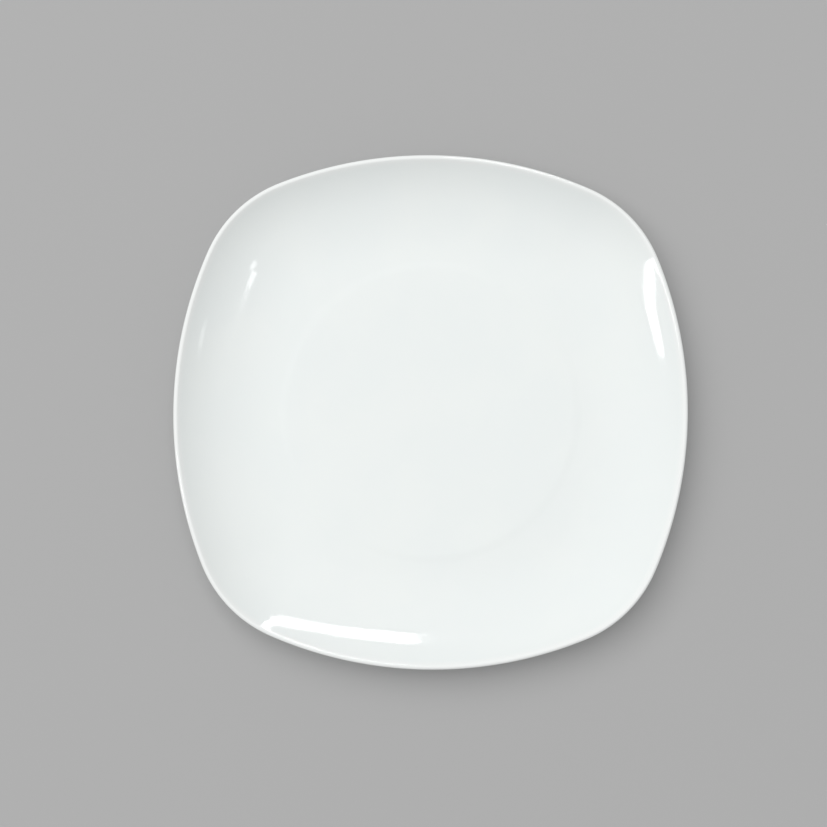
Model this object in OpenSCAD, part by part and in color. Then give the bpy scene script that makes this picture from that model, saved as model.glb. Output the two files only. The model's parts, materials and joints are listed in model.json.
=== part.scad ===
// A square dinner plate in glazed porcelain: one fired clay body, and the two skins of glaze on it.
// The plate is a coupe. An even wall, thinner than the floor, sweeps up to a rounded lip, along an outline
// of four gently bowed sides and four round corners, and the plate stands on a round foot ring.
// Millimetres. The origin is on the ground, under the middle of the plate, and +Z is up.

/* [Outline] */
// Width of the plate across two opposite sides
plate_w = 265; // [250:1:300]
// Radius of each corner, seen from above
corner_r = 66.5; // [56:0.5:80]

/* [Wall] */
// Thickness of the glazed wall, from the foot ring out to the lip
wall_t = 3.2; // [2.6:0.1:4]
// Radius of the face where the wall leaves the floor
heel_curve_r = 100; // [80:1:120]
// Radius of the face from there up to the lip
rim_curve_r = 62; // [40:1:70]

/* [Floor] */
// Thickness of the glazed floor inside the foot ring, at the edge of the ridge
floor_t = 4.5; // [4:0.1:6]
// Rise of the low ridge that the floor has above the foot ring
ridge_h = 0.25; // [0.1:0.05:0.8]
// Width over which the ridge falls away outwards
ridge_fall_w = 6; // [3:0.5:6]
// Sag of the floor's middle below the ridge
floor_sag = 0.45; // [0.1:0.05:1]

/* [Foot ring] */
// Height of the foot ring, from the ground to the glazed underside of the floor
foot_h = 3.8; // [2.5:0.1:6]
// Width of the bare band that the plate stands on
foot_band_w = 3; // [2:0.1:5]
// Distance from the floor's edge in to the middle of the bare band
foot_inset = 7.5; // [6.5:0.5:16]
// Lean of the foot ring's outer flank from the vertical
foot_out_draft = 18; // [5:1:30]
// Lean of its inner flank
foot_in_draft = 32; // [10:1:40]
// Radius of the clay's hollow between each flank and the underside
foot_fillet_r = 2; // [1.2:0.1:2.4]
// Radius of the edges of the bare band
foot_edge_r = 0.6; // [0.2:0.1:0.9]

/* [Glaze] */
// Thickness of the fired glaze
glaze_t = 0.25; // [0.15:0.05:0.5]
// Height above the ground at which the glaze was wiped off the foot ring
glaze_line_h = 1.1; // [1:0.1:1.3]

/* [Hidden] */
$fn = 128;

// Steps in the floor's sag, in the ridge's fall and in each small rounding
sag_steps = 12;
fall_steps = 10;
round_steps = 6;

// Run and rise of the wall's face, of each step along it, where it leaves the floor,
// where the heel's curve passes into the rim's, and at the lip
floor_way_shares = [1, 0];
heel_way_shares = [0.96, 0.28];
rim_way_shares = [0.8, 0.6];

// The outline's arcs meet on a line through both their centres: its run and rise, seen from above
seam_way_shares = [2.4, 1];

// The corners' places are rounded to this step, so that every arc's centre is a plain number
place_step = 0.01;

// Angle by which each stretch of the outline is swept past the seams that trim it
seam_overrun_angle = 0.05;

// Heights of the floor's glazed face, outside the ridge, and of the wall's glazed back at the floor's edge
face_z = foot_h + floor_t;
back_z = face_z - wall_t;

// Centres of the two curves of the face, in a section that starts at the floor's edge
heel_centre = [0, face_z + heel_curve_r];
rim_centre = heel_centre + (heel_curve_r - rim_curve_r) * square_to(heel_way_shares);

// The lip is a half round on the end of the wall
lip_r = wall_t / 2;
lip_centre = rim_centre + (rim_curve_r + lip_r) * square_to(rim_way_shares);

// Width of the wall seen from above, and half the width of the floor inside it
wall_plan_w = lip_centre[0] + lip_r;
floor_half_w = plate_w / 2 - wall_plan_w;

// A corner's arc is centred on a diagonal, at equal distances from the plate's middle lines, and a side's
// on a middle line, beyond the plate's middle. The two are tangent on the line through both centres.
centre_gap_share = norm(seam_way_shares);
side_back_share = seam_way_shares[0] - seam_way_shares[1];
corner_place_share = 1 / (centre_gap_share - side_back_share);
corner_place = place_step * round((plate_w / 2 - corner_r) * corner_place_share / place_step);
corner_centre = [corner_place, corner_place];
side_centre = [-corner_place * side_back_share, 0];
side_arc_r = plate_w / 2 - side_centre[0];
corner_arc_r = side_arc_r - corner_place * centre_gap_share;

// The foot ring stands inside the floor's edge, and the ridge is above it
foot_r = floor_half_w - foot_inset;
ridge_end_r = foot_r + ridge_fall_w;

// A radius past the floor's corners, where the floor's section ends before it is trimmed to the outline
floor_reach_r = norm(corner_centre) + corner_arc_r;

white_clay = [0.93, 0.91, 0.87];
clear_white = [0.92, 0.95, 0.94];

function unit(v) = v / norm(v);

function angle_of(v) = atan2(v[1], v[0]);

// The way out through the wall's back, square to a way along its face
function square_to(way) = [way[1], -way[0]];

// The points of the arc of radius r that rounds the corner b of the path a, b, c
function rounded(a, b, c, r) =
    let (
        to_a = unit(a - b),
        to_c = unit(c - b),
        half = acos(to_a * to_c) / 2,
        centre = b + unit(to_a + to_c) * r / sin(half),
        first = angle_of(b + to_a * r / tan(half) - centre),
        last = angle_of(b + to_c * r / tan(half) - centre),
        turn = (last - first + 540) % 360 - 180
    )
    [for (i = [0:round_steps]) let (a = first + turn * i / round_steps) centre + r * [cos(a), sin(a)]];

function reversed(points) = [for (i = [len(points) - 1:-1:0]) points[i]];

// Height of the glazed face of the floor at radius r: a shallow sag, the ridge's crest, and its fall
function floor_z(r) =
    r < foot_r ? face_z + ridge_h - floor_sag * (1 - pow(r / foot_r, 2)) :
    r < ridge_end_r ? face_z + ridge_h * (1 + cos(180 * (r - foot_r) / ridge_fall_w)) / 2 :
    face_z;

// Points along the floor's face, from the middle out past its edge, at a depth below the glazed face
function floor_path(depth) = concat(
    [for (i = [0:sag_steps - 1]) let (r = foot_r * i / sag_steps) [r, floor_z(r) - depth]],
    [for (i = [0:fall_steps]) let (r = foot_r + ridge_fall_w * i / fall_steps) [r, floor_z(r) - depth]],
    [[floor_reach_r, face_z - depth]]
);

// A point on a flank of the foot ring, at height z: way is 1 outside and -1 inside, over a skin on the clay
function flank_point(way, skin, z) =
    let (draft = way > 0 ? foot_out_draft : foot_in_draft)
    [foot_r + way * (foot_band_w / 2 + skin / cos(draft) + z * tan(draft)), z];

// Height of the clay above a flank, under the wall outside the foot ring and under the floor inside it
function clay_z(way) = (way > 0 ? back_z : foot_h) + glaze_t;

// The hollow at the top of a flank, from the flank to the underside, over a skin on the clay
function hollow_path(way, skin) =
    let (corner = flank_point(way, skin, clay_z(way) - skin))
    rounded(flank_point(way, skin, 0), corner, corner + [way * wall_t, 0], foot_fillet_r - skin);

// A rounded edge of the bare band, from the band to the flank
function band_edge(way) =
    rounded([foot_r, 0], flank_point(way, 0, 0), flank_point(way, 0, foot_h), foot_edge_r);

// The stretch of a ring in a section, between two ways out from its centre
module ring_stretch(centre, r_in, r_out, from_way, to_way) {
    reach = 2 * r_out;
    intersection() {
        translate(centre)
            difference() {
                circle(r_out);
                circle(r_in);
            }
        polygon([centre, centre + reach * from_way, centre + reach * to_way]);
    }
}

// The wall's section between two depths below its face, without the lip
module wall_band(depth_a, depth_b) {
    floor_way = square_to(floor_way_shares);
    heel_way = square_to(heel_way_shares);
    rim_way = square_to(rim_way_shares);
    ring_stretch(heel_centre, heel_curve_r + depth_a, heel_curve_r + depth_b, floor_way, heel_way);
    ring_stretch(rim_centre, rim_curve_r + depth_a, rim_curve_r + depth_b, heel_way, rim_way);
}

// The lip's section: the half of a round that lies beyond the end of the wall
module lip_half() {
    translate(lip_centre)
        rotate(angle_of(rim_way_shares))
            intersection() {
                children();
                translate([0, -wall_t])
                    square([wall_t, 2 * wall_t]);
            }
}

// Sweeps a section round a centre, between two ways out from it
module swept(centre, from_way, to_way) {
    start = angle_of(from_way) - seam_overrun_angle;
    end = angle_of(to_way) + seam_overrun_angle;
    intersection() {
        translate(centre)
            rotate_extrude(angle = end - start, start = start)
                children();
        linear_extrude(plate_w)
            polygon([centre, centre + plate_w * from_way, centre + plate_w * to_way]);
    }
}

// Sweeps one section along the four sides and another along the four corners
module along_outline() {
    run = seam_way_shares[0];
    rise = seam_way_shares[1];
    for (quarter = [0:3])
        rotate(90 * quarter) {
            swept(side_centre, [run, -rise], [run, rise])
                children(0);
            swept(corner_centre, [run, rise], [rise, run])
                children(1);
        }
}

// Sweeps a section of the wall, which starts at the floor's edge, all the way round
module round_floor() {
    along_outline() {
        translate([side_arc_r - wall_plan_w, 0]) children();
        translate([corner_arc_r - wall_plan_w, 0]) children();
    }
}

// The upright block whose outline is the floor's edge
module floor_block() {
    top = face_z + wall_t;
    along_outline() {
        square([side_arc_r - wall_plan_w, top]);
        square([corner_arc_r - wall_plan_w, top]);
    }
}

// Spins a section about the plate's axis, and trims it to the floor's edge
module within_floor() {
    intersection() {
        rotate_extrude() children();
        floor_block();
    }
}

// The fired clay: the floor with its foot ring, the wall and the core of the lip
module porcelain_body() {
    color(white_clay) {
        round_floor() {
            wall_band(glaze_t, wall_t - glaze_t);
            lip_half() circle(lip_r - glaze_t);
        }
        within_floor()
            polygon(concat(
                floor_path(glaze_t),
                [[floor_reach_r, clay_z(1)]],
                reversed(hollow_path(1, 0)),
                reversed(band_edge(1)),
                band_edge(-1),
                hollow_path(-1, 0),
                [[0, clay_z(-1)]]
            ));
    }
}

// The glaze on the face, round the lip and on the back, down to the wiped line on the foot's outer flank
module outer_glaze() {
    color(clear_white) {
        round_floor() {
            wall_band(0, glaze_t);
            lip_half()
                difference() {
                    circle(lip_r);
                    circle(lip_r - glaze_t);
                }
            wall_band(wall_t - glaze_t, wall_t);
        }
        within_floor()
            polygon(concat(floor_path(0), reversed(floor_path(glaze_t))));
        within_floor()
            polygon(concat(
                [[floor_reach_r, clay_z(1)]],
                reversed(hollow_path(1, 0)),
                [flank_point(1, 0, glaze_line_h), flank_point(1, glaze_t, glaze_line_h)],
                hollow_path(1, glaze_t),
                [[floor_reach_r, back_z]]
            ));
    }
}

// The glaze in the recess inside the foot ring, which the bare band parts from the rest
module foot_recess_glaze() {
    color(clear_white)
        rotate_extrude()
            polygon(concat(
                [[0, clay_z(-1)]],
                reversed(hollow_path(-1, 0)),
                [flank_point(-1, 0, glaze_line_h), flank_point(-1, glaze_t, glaze_line_h)],
                hollow_path(-1, glaze_t),
                [[0, foot_h]]
            ));
}

porcelain_body();
outer_glaze();
foot_recess_glaze();
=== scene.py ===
import json
import math

import bmesh
import bpy
from mathutils import Matrix, Quaternion, Vector, noise

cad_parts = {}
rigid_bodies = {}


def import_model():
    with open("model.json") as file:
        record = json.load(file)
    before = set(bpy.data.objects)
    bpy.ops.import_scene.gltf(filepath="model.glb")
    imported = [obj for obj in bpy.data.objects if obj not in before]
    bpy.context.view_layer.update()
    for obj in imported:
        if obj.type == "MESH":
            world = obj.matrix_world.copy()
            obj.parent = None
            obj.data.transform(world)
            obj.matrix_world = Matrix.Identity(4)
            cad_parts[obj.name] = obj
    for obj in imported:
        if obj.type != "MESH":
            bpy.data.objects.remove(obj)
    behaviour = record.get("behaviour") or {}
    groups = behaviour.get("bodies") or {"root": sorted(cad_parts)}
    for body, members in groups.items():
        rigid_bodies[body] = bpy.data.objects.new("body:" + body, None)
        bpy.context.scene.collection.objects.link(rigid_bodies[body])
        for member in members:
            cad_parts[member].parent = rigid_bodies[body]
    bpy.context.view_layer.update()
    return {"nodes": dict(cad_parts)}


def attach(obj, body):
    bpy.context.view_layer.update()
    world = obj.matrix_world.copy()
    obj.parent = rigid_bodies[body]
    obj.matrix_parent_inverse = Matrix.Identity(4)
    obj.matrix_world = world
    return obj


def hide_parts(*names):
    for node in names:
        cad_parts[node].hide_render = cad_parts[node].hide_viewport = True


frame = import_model()
mm = 0.001


# Clay body
# The plate itself is one piece of porcelain clay, jiggered over a mould, and fired hard and white. It is
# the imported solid, kept as it is. All of it lies under the glaze but for the band that the plate stands on,
# which was wiped before the glaze firing and ground smooth after it.
class Wire:
    """A socket of a finish, with arithmetic on it. Each sum adds a Math node."""

    def __init__(self, tree, socket):
        self.tree = tree
        self.socket = socket

    def node(self, kind, settings, sockets, output=0):
        """Adds a node: its settings first, then the values or wires of its sockets."""
        added = self.tree.nodes.new(kind)
        for name, value in settings.items():
            setattr(added, name, value)
        for key, value in sockets.items():
            if isinstance(value, Wire):
                self.tree.links.new(value.socket, added.inputs[key])
            else:
                added.inputs[key].default_value = value
        return Wire(self.tree, added.outputs[output]) if added.outputs else None

    def sum(self, operation, *terms):
        return self.node("ShaderNodeMath", {"operation": operation}, dict(enumerate(terms)))

    def __add__(self, other):
        return self.sum("ADD", self, other)

    __radd__ = __add__

    def __sub__(self, other):
        return self.sum("SUBTRACT", self, other)

    def __rsub__(self, other):
        return self.sum("SUBTRACT", other, self)

    def __mul__(self, other):
        return self.sum("MULTIPLY", self, other)

    __rmul__ = __mul__

    def __truediv__(self, other):
        return self.sum("DIVIDE", self, other)

    def __pow__(self, other):
        return self.sum("POWER", self, other)

    def __abs__(self):
        return self.sum("ABSOLUTE", self)

    def part(self, axis):
        """One of the three numbers of a place."""
        return self.node("ShaderNodeSeparateXYZ", {}, {"Vector": self}, output="XYZ".index(axis))

    def from_axis(self):
        """How far a place is from the plate's upright axis."""
        return (self.part("X") ** 2 + self.part("Y") ** 2) ** 0.5

    def ease(self, start, end):
        """0 before start and 1 past end, with a smooth step between them."""
        settings = {"interpolation_type": "SMOOTHSTEP"}
        return self.node("ShaderNodeMapRange", settings, {"Value": self, "From Min": start, "From Max": end})

    def grain(self, size, detail=2, roughness=0.5):
        """Cloudy noise, 0 to 1, whose lumps are about that size, over a place."""
        sockets = {"Vector": self, "Scale": 1 / size, "Detail": detail, "Roughness": roughness}
        return self.node("ShaderNodeTexNoise", {}, sockets)

    def between(self, first, second):
        """The mix of two colours, by how far this value is from 0 to 1."""
        shades = [(*shade, 1) if isinstance(shade, tuple) else shade for shade in (first, second)]
        sockets = {0: self, 6: shades[0], 7: shades[1]}
        return self.node("ShaderNodeMix", {"data_type": "RGBA"}, sockets, output=2)

    def bump(self, height):
        """The normal of a surface that this wire, from 0 to 1, lifts by up to a height."""
        return self.node("ShaderNodeBump", {}, {"Height": self, "Distance": height, "Strength": 1.0})


def new_finish(name, **sockets):
    """A material, its plain shader with the given constants on its sockets, and its object coordinates."""
    material = bpy.data.materials.new(name)
    material.use_nodes = True
    shader = material.node_tree.nodes["Principled BSDF"]
    for key, value in sockets.items():
        shader.inputs[key.replace("_", " ")].default_value = value
    here = Wire(material.node_tree, None).node("ShaderNodeTexCoord", {}, {}, output="Object")
    return material, shader, here


def feed(shader, **wires):
    """Leads wires into the shader's sockets."""
    for key, wire in wires.items():
        wire.tree.links.new(wire.socket, shader.inputs[key.replace("_", " ")])


bare_clay, clay_shader, here = new_finish("bare_porcelain", IOR=1.45)
clay_white = (0.80, 0.765, 0.70)
clay_grey = (0.66, 0.635, 0.59)
ground_h = (0.05 * mm, 0.5 * mm)
worn_size = 9 * mm
worn_edges = (0.42, 0.72)
worn_shade = 0.8
speck_size = 0.55 * mm
speck_edges = (0.62, 0.8)
speck_shade = 0.25
smoothest_clay = 0.52
speck_roughness = 0.25
ring_pitch = 0.35 * mm
ring_share = 0.4
clay_relief = 0.06 * mm

# It is worn and stained in patches where it was ground, speckled all over, and faintly ringed by the wheel.
worn = (1 - here.part("Z").ease(*ground_h)) * here.grain(worn_size, detail=4).ease(*worn_edges)
speckled = here.grain(speck_size, detail=3, roughness=0.7)
ring_sockets = {"W": here.from_axis() / ring_pitch, "Scale": 1.0}
rings = here.node("ShaderNodeTexNoise", {"noise_dimensions": "1D"}, ring_sockets)
stained = worn * worn_shade + speckled.ease(*speck_edges) * speck_shade
feed(
    clay_shader,
    Base_Color=stained.between(clay_white, clay_grey),
    Roughness=smoothest_clay + speck_roughness * speckled,
    Normal=((1 - ring_share) * speckled + ring_share * rings).bump(clay_relief),
)
frame["nodes"]["porcelain_body"].data.materials.clear()
frame["nodes"]["porcelain_body"].data.materials.append(bare_clay)


# Outer glaze
# One unbroken skin of clear white glaze, melted on to the clay in the second firing. It covers the face,
# rolls over the lip and runs down the back to the line on the foot ring where it was wiped off.
glaze_t = 0.25 * mm

# The outline: half the plate's width, how far out along each middle line a corner's centre lies, and the
# run of the seams between sides and corners for a rise of one
plate_half_w = 132.5 * mm
corner_place = 55 * mm
seam_run = 2.4
seam_angle = math.atan2(1, seam_run)
side_back = corner_place * (seam_run - 1)
corner_turn = math.pi / 2 - 2 * seam_angle

# The wall: two curves of the face, with the run and rise of the way at the end of each, and a round lip
wall_t = 3.2 * mm
heel_curve_r = 100 * mm
rim_curve_r = 62 * mm
heel_way_shares = (0.96, 0.28)
rim_way_shares = (0.8, 0.6)
heel_slope = math.atan2(heel_way_shares[1], heel_way_shares[0])
rim_slope = math.atan2(rim_way_shares[1], rim_way_shares[0])
lip_r = wall_t / 2
lip_reach = heel_curve_r * math.sin(heel_slope) + rim_curve_r * (math.sin(rim_slope) - math.sin(heel_slope))
wall_plan_w = lip_reach + lip_r * (math.sin(rim_slope) + 1)

# The floor and the foot ring are round. The ridge rises above the ring, and the middle sags below it.
foot_h = 3.8 * mm
floor_t = 4.5 * mm
face_z = foot_h + floor_t
back_z = face_z - wall_t
floor_half_w = plate_half_w - wall_plan_w
foot_inset = 7.5 * mm
foot_r = floor_half_w - foot_inset
foot_band_w = 3 * mm
foot_fillet_r = 2 * mm
foot_out_draft = math.radians(18)
foot_in_draft = math.radians(32)
ridge_h = 0.25 * mm
ridge_fall_w = 6 * mm
ridge_end_r = foot_r + ridge_fall_w
floor_sag = 0.45 * mm

# Centres of the wall's curves, in a section through the middle of a side
heel_centre = (floor_half_w, face_z + heel_curve_r)
rim_centre = (
    heel_centre[0] + (heel_curve_r - rim_curve_r) * math.sin(heel_slope),
    heel_centre[1] - (heel_curve_r - rim_curve_r) * math.cos(heel_slope),
)
lip_centre = (
    rim_centre[0] + (rim_curve_r + lip_r) * math.sin(rim_slope),
    rim_centre[1] - (rim_curve_r + lip_r) * math.cos(rim_slope),
)

# The floor's own sweep is parted where the seams cross its edge, so that its points meet the wall's.
floor_side_r = plate_half_w + side_back - wall_plan_w
floor_seam_angle = math.atan2(
    floor_side_r * math.sin(seam_angle),
    floor_side_r * math.cos(seam_angle) - side_back,
)

# The wiped line: how far it wanders up and down, over what length, and the roundness of its edge
glaze_line_h = 1.1 * mm
wander_h = 0.22 * mm
wander_len = 9 * mm
line_round = 0.14 * mm

# Steps in each stretch, and what counts as one point, as a sharp edge and as a smooth one
side_steps = 64
corner_steps = 28
heel_steps = 14
rim_steps = 14
lip_steps = 24
fall_steps = 10
sag_steps = 16
hollow_steps = 8
line_round_steps = 3
weld = 0.01 * mm
sharp_angle = math.radians(60)
smooth_angle = math.radians(50)


def turned(x, y, quarter):
    """A place in plan, turned on by quarters of a turn."""
    place = Vector((x, y, 0))
    place.rotate(Matrix.Rotation(quarter * math.pi / 2, 3, "Z"))
    return place


def begin(name):
    """Starts an empty piece at the origin, in edit mode."""
    bpy.ops.object.select_all(action="DESELECT")
    bpy.ops.mesh.primitive_plane_add(size=wall_t)
    piece = bpy.context.object
    piece.name = piece.data.name = name
    bpy.ops.object.mode_set(mode="EDIT")
    bpy.ops.mesh.delete(type="VERT")
    return piece


def first_point(x, z):
    """Adds the first point of a section to the piece, and leaves it alone selected."""
    bpy.ops.mesh.select_all(action="DESELECT")
    bpy.ops.mesh.primitive_plane_add(size=wall_t, location=(x, 0, z))
    bpy.ops.mesh.merge(type="CENTER")


def swing(centre, angle, steps):
    """Draws a section on along an arc, anticlockwise as seen from the front for a positive angle."""
    bpy.ops.mesh.spin(steps=steps, angle=angle, center=(centre[0], 0, centre[1]), axis=(0, 1, 0))


def draw_to(x, z):
    """Draws a section on in a straight line."""
    points = bmesh.from_edit_mesh(bpy.context.object.data).verts
    end = next(point.co.copy() for point in points if point.select)
    bpy.ops.mesh.extrude_region_move(TRANSFORM_OT_translate={"value": (x - end.x, 0, z - end.z)})


def sweep(start_angle, side_place, side_angle, corner_at, corner_angle):
    """Sweeps the section just drawn along four sides and four corners, by eight spins."""
    bpy.ops.mesh.select_linked()
    bpy.ops.transform.rotate(value=start_angle, orient_axis="Z", center_override=(*side_place, 0))
    for quarter in range(4):
        side = turned(*side_place, quarter)
        corner = turned(*corner_at, quarter)
        bpy.ops.mesh.spin(steps=side_steps, angle=side_angle, center=side, axis=(0, 0, -1))
        bpy.ops.mesh.spin(steps=corner_steps, angle=corner_angle, center=corner, axis=(0, 0, -1))
    bpy.ops.mesh.select_all(action="SELECT")
    bpy.ops.mesh.remove_doubles(threshold=weld)


def sweep_round():
    """Spins the section just drawn round the plate's axis, in the same steps as the wall."""
    sweep(floor_seam_angle, (0, 0), 2 * floor_seam_angle, (0, 0), math.pi / 2 - 2 * floor_seam_angle)


def bridge(piece, z):
    """Joins the two open loops that lie at a height, one quarter of the plate at a time."""
    for way_x, way_y in ((1, 1), (-1, 1), (-1, -1), (1, -1)):
        bpy.ops.mesh.select_all(action="DESELECT")
        mesh = bmesh.from_edit_mesh(piece.data)
        for edge in mesh.edges:
            start, end = (point.co for point in edge.verts)
            middle = (start + end) / 2
            level = max(abs(start.z - z), abs(end.z - z)) < weld
            within = min(way_x * middle.x, way_y * middle.y) > weld
            edge.select_set(edge.is_boundary and level and within)
        bmesh.update_edit_mesh(piece.data)
        bpy.ops.mesh.bridge_edge_loops()


def flank_foot(way, draft):
    """Where a glazed flank would meet the ground: way is 1 outside the foot ring and -1 in it."""
    return foot_r + way * (foot_band_w / 2 + glaze_t / math.cos(draft))


def hollow_centre(way, draft, under_z):
    """Centre of the hollow between a flank and the underside, in the section."""
    r = foot_fillet_r - glaze_t
    off_flank = under_z * math.tan(draft) + r * math.tan(math.pi / 4 - draft / 2)
    return (flank_foot(way, draft) + way * off_flank, under_z - r)


def draw_flank(way, draft, centre):
    """Draws a section on round the hollow and down the foot's flank to the wiped line."""
    swing(centre, way * (math.pi / 2 - draft), hollow_steps)
    draw_to(flank_foot(way, draft) + way * glaze_line_h * math.tan(draft), glaze_line_h)


def wander(piece, way, draft):
    """Lets the wiped line wander up and down the flank, as a wet sponge leaves it."""
    for point in bmesh.from_edit_mesh(piece.data).verts:
        if abs(point.co.z - glaze_line_h) < weld:
            rise = wander_h * noise.noise(point.co / wander_len)
            out = way * math.tan(draft) * rise / point.co.xy.length
            point.co += Vector((point.co.x * out, point.co.y * out, rise))
    bmesh.update_edit_mesh(piece.data)


def skin(piece, way, draft):
    """Turns the sheet's faces outwards, thickens it inwards, and rounds the outer edge of its wiped line."""
    bpy.ops.mesh.select_all(action="SELECT")
    bpy.ops.mesh.remove_doubles(threshold=weld)
    bpy.ops.mesh.normals_make_consistent(inside=False)
    mesh = bmesh.from_edit_mesh(piece.data)
    central_face = min(mesh.faces, key=lambda face: face.calc_center_median().length)
    if central_face.normal.z * way < 0:
        bpy.ops.mesh.flip_normals()
    bpy.ops.object.mode_set(mode="OBJECT")
    wall = piece.modifiers.new("glaze", "SOLIDIFY")
    wall.thickness = glaze_t
    wall.offset = -1
    wall.use_even_offset = True
    bpy.ops.object.modifier_apply(modifier=wall.name)
    bpy.ops.object.mode_set(mode="EDIT")
    bpy.ops.mesh.select_all(action="DESELECT")
    mesh = bmesh.from_edit_mesh(piece.data)
    for edge in mesh.edges:
        middle = (edge.verts[0].co + edge.verts[1].co) / 2
        off_clay = way * (middle.xy.length - foot_r) - foot_band_w / 2 - middle.z * math.tan(draft)
        on_line = middle.z < foot_h / 2 and off_clay > glaze_t / 2
        edge.select_set(on_line and edge.calc_face_angle(0) > sharp_angle)
    bmesh.update_edit_mesh(piece.data)
    bpy.ops.mesh.bevel(offset=line_round, segments=line_round_steps, profile=0.5)
    bpy.ops.object.mode_set(mode="OBJECT")
    bpy.ops.object.shade_smooth_by_angle(angle=smooth_angle)


# The wall's back, the lip and the wall's face, from the floor's edge below to the floor's edge above
outer_glaze = begin("outer_glaze_skin")
first_point(floor_half_w, back_z)
swing(heel_centre, heel_slope, heel_steps)
swing(rim_centre, rim_slope - heel_slope, rim_steps)
swing(lip_centre, math.pi, lip_steps)
swing(rim_centre, heel_slope - rim_slope, rim_steps)
swing(heel_centre, -heel_slope, heel_steps)
sweep(seam_angle, (-side_back, 0), 2 * seam_angle, (corner_place, corner_place), corner_turn)

# The floor's face, from the foot of the ridge in to the middle
first_point(ridge_end_r, face_z)
for step in range(1, fall_steps + 1):
    share = step / fall_steps
    draw_to(ridge_end_r - ridge_fall_w * share, face_z + ridge_h * (1 - math.cos(math.pi * share)) / 2)
for step in range(1, sag_steps + 1):
    share = 1 - step / sag_steps
    draw_to(foot_r * share, face_z + ridge_h - floor_sag * (1 - share**2))
sweep_round()
bridge(outer_glaze, face_z)

# The back inside the wall, round the hollow and down the foot ring's outer flank
outer_hollow = hollow_centre(1, foot_out_draft, back_z)
first_point(outer_hollow[0], back_z)
draw_flank(1, foot_out_draft, outer_hollow)
sweep_round()
bridge(outer_glaze, back_z)
wander(outer_glaze, 1, foot_out_draft)
skin(outer_glaze, 1, foot_out_draft)

# The glaze is clear over white clay, and faintly cloudy. It is thinnest on the lip, where it ran off as it
# melted, and it gathered in the hollow at the foot. Its surface is glossy, ripples very slightly, and is
# a little duller in patches, where it was handled.
clear_glaze, glaze_shader, here = new_finish("clear_glaze", IOR=1.5)
glaze_white = (0.835, 0.868, 0.856)
glaze_cloud = (0.823, 0.859, 0.850)
glaze_thin = (0.858, 0.876, 0.866)
glaze_deep = (0.745, 0.810, 0.800)
cloud_size = 38 * mm
cloud_edges = (0.35, 0.65)
lip_thins_h = (20.6 * mm, 22.6 * mm)
foot_gathers_w = (2.5 * mm, 9 * mm)
foot_gathers_h = (4.6 * mm, 5.6 * mm)
long_ripple = 13 * mm
short_ripple = 3.2 * mm
short_ripple_share = 0.25
ripple_h = 0.03 * mm
handled_size = 24 * mm
handled_edges = (0.5, 0.75)
clean_roughness = 0.06
handled_roughness = 0.03

height = here.part("Z")
clouds = here.grain(cloud_size, detail=3).ease(*cloud_edges)
on_lip = height.ease(*lip_thins_h)
by_foot = 1 - abs(here.from_axis() - foot_r).ease(*foot_gathers_w)
gathered = by_foot * (1 - height.ease(*foot_gathers_h))
body_colour = clouds.between(glaze_white, glaze_cloud)
long_waves = (1 - short_ripple_share) * here.grain(long_ripple, detail=1)
short_waves = short_ripple_share * here.grain(short_ripple, detail=1)
handled = here.grain(handled_size, detail=4, roughness=0.6).ease(*handled_edges)
feed(
    glaze_shader,
    Base_Color=gathered.between(on_lip.between(body_colour, glaze_thin), glaze_deep),
    Roughness=clean_roughness + handled_roughness * handled,
    Normal=(long_waves + short_waves).bump(ripple_h),
)


def dress(piece, node, material):
    """Gives a piece its finish, and the place of its CAD node on the plate."""
    piece.data.materials.clear()
    piece.data.materials.append(material)
    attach(piece, "root")
    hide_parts(node)


dress(outer_glaze, "outer_glaze", clear_glaze)


# Recess glaze
# The same glaze inside the foot ring. It is a skin of its own, because the bare band that the plate
# stands on parts it from the rest.
recess_steps = 14
recess_glaze = begin("recess_glaze_skin")
inner_hollow = hollow_centre(-1, foot_in_draft, foot_h)
first_point(0, foot_h)
for step in range(1, recess_steps + 1):
    draw_to(inner_hollow[0] * step / recess_steps, foot_h)
draw_flank(-1, foot_in_draft, inner_hollow)
sweep_round()
wander(recess_glaze, -1, foot_in_draft)
skin(recess_glaze, -1, foot_in_draft)
dress(recess_glaze, "foot_recess_glaze", clear_glaze)


# Floor
# A plain pale grey sheet, 12 metres wide, that the plate stands on. Between 0.8 and 4 metres from the
# plate's axis it passes into the backdrop's own even grey, so that the two meet without a line.
sheet_w = 12
sheet_fades_r = (0.8, 4)
bpy.ops.object.select_all(action="DESELECT")
bpy.ops.mesh.primitive_plane_add(size=sheet_w)
studio_floor = bpy.context.object
studio_floor.name = studio_floor.data.name = "studio_floor"
paper, paper_shader, here = new_finish("grey_paper", Roughness=0.9, Specular_IOR_Level=0.1)
backdrop_grey = (0.418, 0.418, 0.418)
paper_shader.inputs["Base Color"].default_value = (*backdrop_grey, 1)
lit_paper = Wire(paper.node_tree, paper_shader.outputs["BSDF"])
even_paper = here.node("ShaderNodeEmission", {}, {"Color": (*backdrop_grey, 1), "Strength": 1.0})
far_off = here.from_axis().ease(*sheet_fades_r)
fading = here.node("ShaderNodeMixShader", {}, {0: far_off, 1: lit_paper, 2: even_paper})
paper.node_tree.links.new(fading.socket, paper.node_tree.nodes["Material Output"].inputs["Surface"])
studio_floor.data.materials.append(paper)


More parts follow.
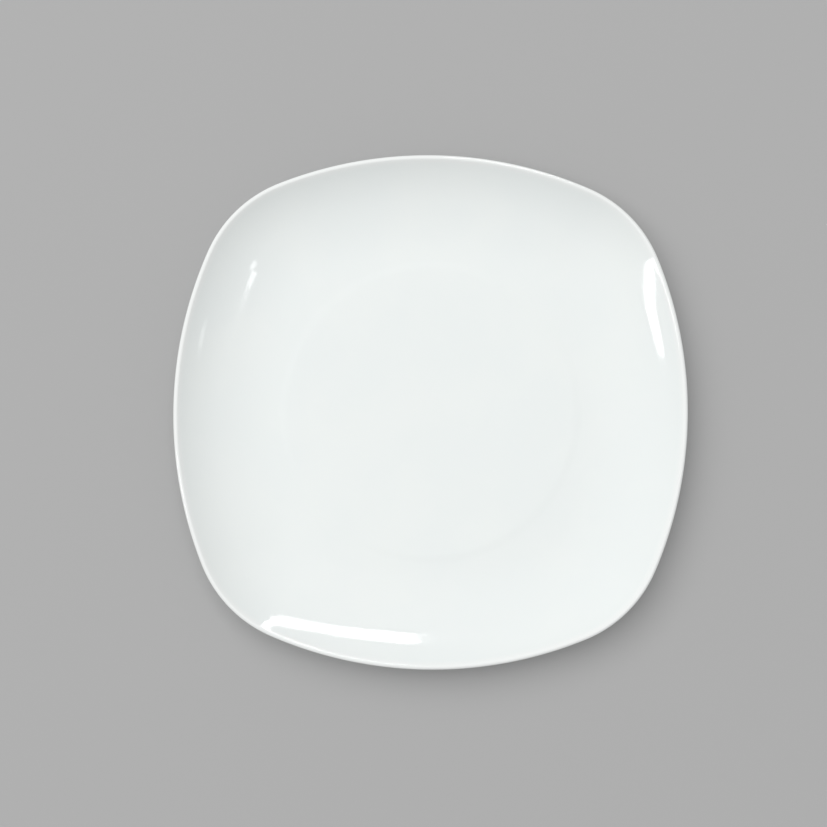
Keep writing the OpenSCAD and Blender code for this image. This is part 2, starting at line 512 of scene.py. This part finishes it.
# Studio light
# Even light from all round, a large soft box high behind the plate's left side, and smaller lamps that
# show only as reflections in the glaze. The camera and the glaze see the backdrop as the floor's grey.
world = bpy.data.worlds.new("studio")
bpy.context.scene.world = world
world.use_nodes = True
world.node_tree.nodes.clear()
backdrop = Wire(world.node_tree, None)
camera_ray = backdrop.node("ShaderNodeLightPath", {}, {}, output="Is Camera Ray")
glossy_ray = backdrop.node("ShaderNodeLightPath", {}, {}, output="Is Glossy Ray")
even_light = (0.345, 0.345, 0.345)
backdrop_colour = (camera_ray + glossy_ray).between(even_light, backdrop_grey)
shine = backdrop.node("ShaderNodeBackground", {}, {"Color": backdrop_colour, "Strength": 1.0})
backdrop.node("ShaderNodeOutputWorld", {}, {"Surface": shine})


def soft_box(name, azimuth, lean, turn, wide, tall, away, radiance):
    """A rectangular lamp that faces the plate from an azimuth and a lean off the vertical, in degrees,
    and is turned in its own plane. Its sizes and its distance are in metres."""
    way = Vector((0, 0, 1))
    way.rotate(Matrix.Rotation(math.radians(lean), 3, "Y"))
    way.rotate(Matrix.Rotation(math.radians(azimuth), 3, "Z"))
    facing = way.to_track_quat("Z", "Y") @ Quaternion((0, 0, 1), math.radians(turn))
    bpy.ops.object.light_add(type="AREA", location=away * way, rotation=facing.to_euler())
    lamp = bpy.context.object
    lamp.name = name
    lamp.data.shape = "RECTANGLE"
    lamp.data.size = wide
    lamp.data.size_y = tall
    lamp.data.energy = radiance * math.pi * wide * tall
    lamp.visible_camera = False
    return lamp


def streak(name, away=3, radiance=14, **placing):
    """Adds a lamp that shows only as a bright streak in the glaze."""
    soft_box(name, away=away, radiance=radiance, **placing).visible_diffuse = False


def spot(name, away=5, **placing):
    """Adds a lamp, farther off, that shows only as a small spot in the glaze."""
    streak(name, away=away, **placing)


key_light = soft_box("key", azimuth=137, lean=22, turn=0, wide=7.1, tall=7.1, away=6, radiance=2.45)
key_light.visible_glossy = False
streak("near_wall_glint", azimuth=72.7, lean=46.2, turn=64, wide=1.47, tall=0.19)
streak("near_wall_side_glint", azimuth=75.5, lean=44, turn=44, wide=0.9, tall=0.15)
streak("near_wall_end_glint", azimuth=84.1, lean=36.9, turn=93, wide=0.52, tall=0.1)
streak("right_wall_glint", azimuth=193.2, lean=44.7, turn=-70, wide=1.0, tall=0.14)
streak("right_wall_end_glint", azimuth=188, lean=40.6, turn=-94, wide=0.3, tall=0.22)
spot("corner_glint", azimuth=-13.6, lean=21.5, turn=-21, wide=0.25, tall=0.27, radiance=5)
spot("lower_glint", azimuth=-5.9, lean=19.4, turn=-15, wide=0.06, tall=0.25, radiance=10)
spot("left_wall_glint", azimuth=-5.5, lean=46, turn=0, wide=0.2, tall=0.3, radiance=2.2)


# Camera
# It looks down from almost straight above, a little left of the plate's middle and a little in front of it,
# and is a shade turned, so that the outline lies in the picture as it does in the photograph.
camera_place = (-17.07 * mm, -20.07 * mm, 619.7 * mm)
camera_turn = (math.radians(1.761), math.radians(-0.781), math.radians(0.806))
sensor_w = 36
lens_length = 50.67
nearest_seen = 10 * mm
bpy.ops.object.camera_add(location=camera_place, rotation=camera_turn)
camera = bpy.context.object
camera.data.sensor_width = sensor_w
camera.data.lens = lens_length
camera.data.clip_start = nearest_seen
bpy.context.scene.camera = camera
bpy.context.scene.view_settings.view_transform = "Standard"
